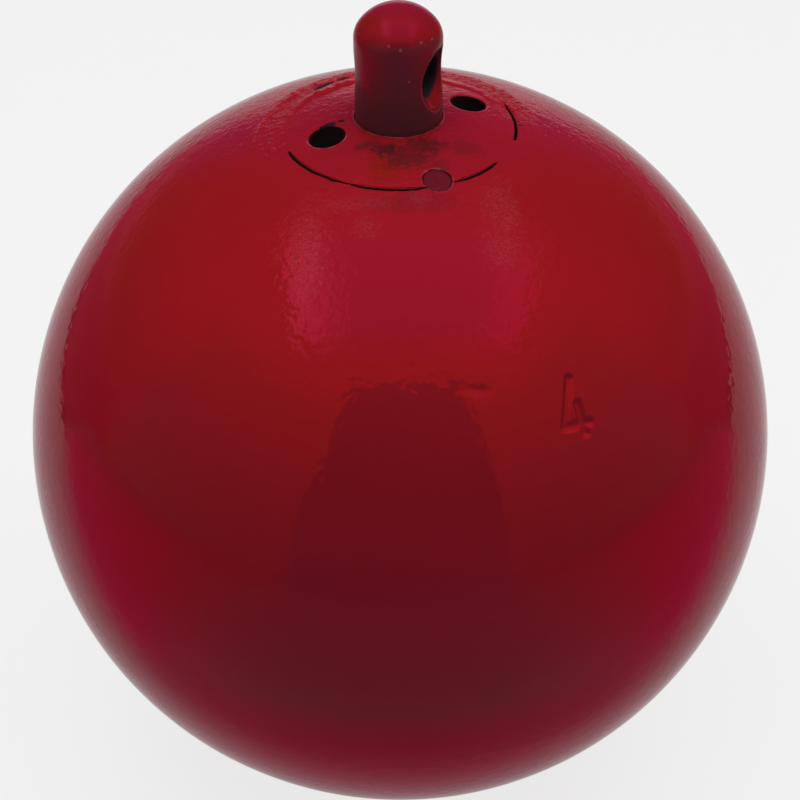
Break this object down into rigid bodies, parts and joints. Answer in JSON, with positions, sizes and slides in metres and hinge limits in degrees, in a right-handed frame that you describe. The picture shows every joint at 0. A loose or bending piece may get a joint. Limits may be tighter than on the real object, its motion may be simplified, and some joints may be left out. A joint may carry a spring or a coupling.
{
  "type": "throwing hammer head",
  "caption": "Round red painted throwing hammer head with a flush screw-in cap and a ball-bearing swivel whose domed spindle has an eye for the wire.",
  "frame": {"origin": "centre of the ball, within a fifth of a millimetre of the head's centre of mass", "axes": "+Z along the swivel's axis, out of the cap towards the wire; -Y towards the side that the picture shows"},
  "size_m": [0.1, 0.1, 0.1142],
  "materials": {
    "red_paint": "gloss",
    "painted_pin": "satin",
    "bearing_steel": "polished",
    "plain_steel": "satin",
    "bronze": "satin",
    "lead": "matte"
  },
  "bodies": {
    "head": {"ball": "red_paint", "trim_weight": "lead", "swivel_cap": "red_paint", "lock_pin": "painted_pin", "cap_bush": "bronze", "bearing_housing_washer": "bearing_steel"},
    "spindle": {"swivel_spindle": "red_paint", "bearing_shaft_washer": "bearing_steel", "backing_washer": "plain_steel", "castle_nut": "plain_steel", "split_pin": "plain_steel"},
    "cage": {"bearing_cage": "bronze"},
    "rolling_ball_1": {"bearing_ball_1": "bearing_steel"},
    "rolling_ball_2": {"bearing_ball_2": "bearing_steel"},
    "rolling_ball_3": {"bearing_ball_3": "bearing_steel"},
    "rolling_ball_4": {"bearing_ball_4": "bearing_steel"},
    "rolling_ball_5": {"bearing_ball_5": "bearing_steel"},
    "rolling_ball_6": {"bearing_ball_6": "bearing_steel"},
    "rolling_ball_7": {"bearing_ball_7": "bearing_steel"},
    "rolling_ball_8": {"bearing_ball_8": "bearing_steel"},
    "rolling_ball_9": {"bearing_ball_9": "bearing_steel"}
  },
  "joints": [
    {"name": "spindle_spin", "type": "hinge", "parent": "head", "child": "spindle", "pos_m": [0, 0, 0.0332], "axis": [0, 0, 1], "continuous": true},
    {"name": "cage_spin", "type": "hinge", "parent": "head", "child": "cage", "pos_m": [0, 0, 0.0332], "axis": [0, 0, 1], "continuous": true},
    {"name": "ball_1_roll", "type": "hinge", "parent": "cage", "child": "rolling_ball_1", "pos_m": [0.0085, 0, 0.0332], "axis": [1, 0, 0], "continuous": true},
    {"name": "ball_2_roll", "type": "hinge", "parent": "cage", "child": "rolling_ball_2", "pos_m": [0.00651, 0.00546, 0.0332], "axis": [0.766, 0.6428, 0], "continuous": true},
    {"name": "ball_3_roll", "type": "hinge", "parent": "cage", "child": "rolling_ball_3", "pos_m": [0.00148, 0.00837, 0.0332], "axis": [0.1736, 0.9848, 0], "continuous": true},
    {"name": "ball_4_roll", "type": "hinge", "parent": "cage", "child": "rolling_ball_4", "pos_m": [-0.00425, 0.00736, 0.0332], "axis": [-0.5, 0.866, 0], "continuous": true},
    {"name": "ball_5_roll", "type": "hinge", "parent": "cage", "child": "rolling_ball_5", "pos_m": [-0.00799, 0.00291, 0.0332], "axis": [-0.9397, 0.342, 0], "continuous": true},
    {"name": "ball_6_roll", "type": "hinge", "parent": "cage", "child": "rolling_ball_6", "pos_m": [-0.00799, -0.00291, 0.0332], "axis": [-0.9397, -0.342, 0], "continuous": true},
    {"name": "ball_7_roll", "type": "hinge", "parent": "cage", "child": "rolling_ball_7", "pos_m": [-0.00425, -0.00736, 0.0332], "axis": [-0.5, -0.866, 0], "continuous": true},
    {"name": "ball_8_roll", "type": "hinge", "parent": "cage", "child": "rolling_ball_8", "pos_m": [0.00148, -0.00837, 0.0332], "axis": [0.1736, -0.9848, 0], "continuous": true},
    {"name": "ball_9_roll", "type": "hinge", "parent": "cage", "child": "rolling_ball_9", "pos_m": [0.00651, -0.00546, 0.0332], "axis": [0.766, -0.6428, 0], "continuous": true}
  ],
  "couplings": [
    {"joint": "cage_spin", "follows": "spindle_spin", "ratio": 0.5},
    {"joint": "ball_1_roll", "follows": "spindle_spin", "ratio": 1.7857},
    {"joint": "ball_2_roll", "follows": "spindle_spin", "ratio": 1.7857},
    {"joint": "ball_3_roll", "follows": "spindle_spin", "ratio": 1.7857},
    {"joint": "ball_4_roll", "follows": "spindle_spin", "ratio": 1.7857},
    {"joint": "ball_5_roll", "follows": "spindle_spin", "ratio": 1.7857},
    {"joint": "ball_6_roll", "follows": "spindle_spin", "ratio": 1.7857},
    {"joint": "ball_7_roll", "follows": "spindle_spin", "ratio": 1.7857},
    {"joint": "ball_8_roll", "follows": "spindle_spin", "ratio": 1.7857},
    {"joint": "ball_9_roll", "follows": "spindle_spin", "ratio": 1.7857}
  ]
}
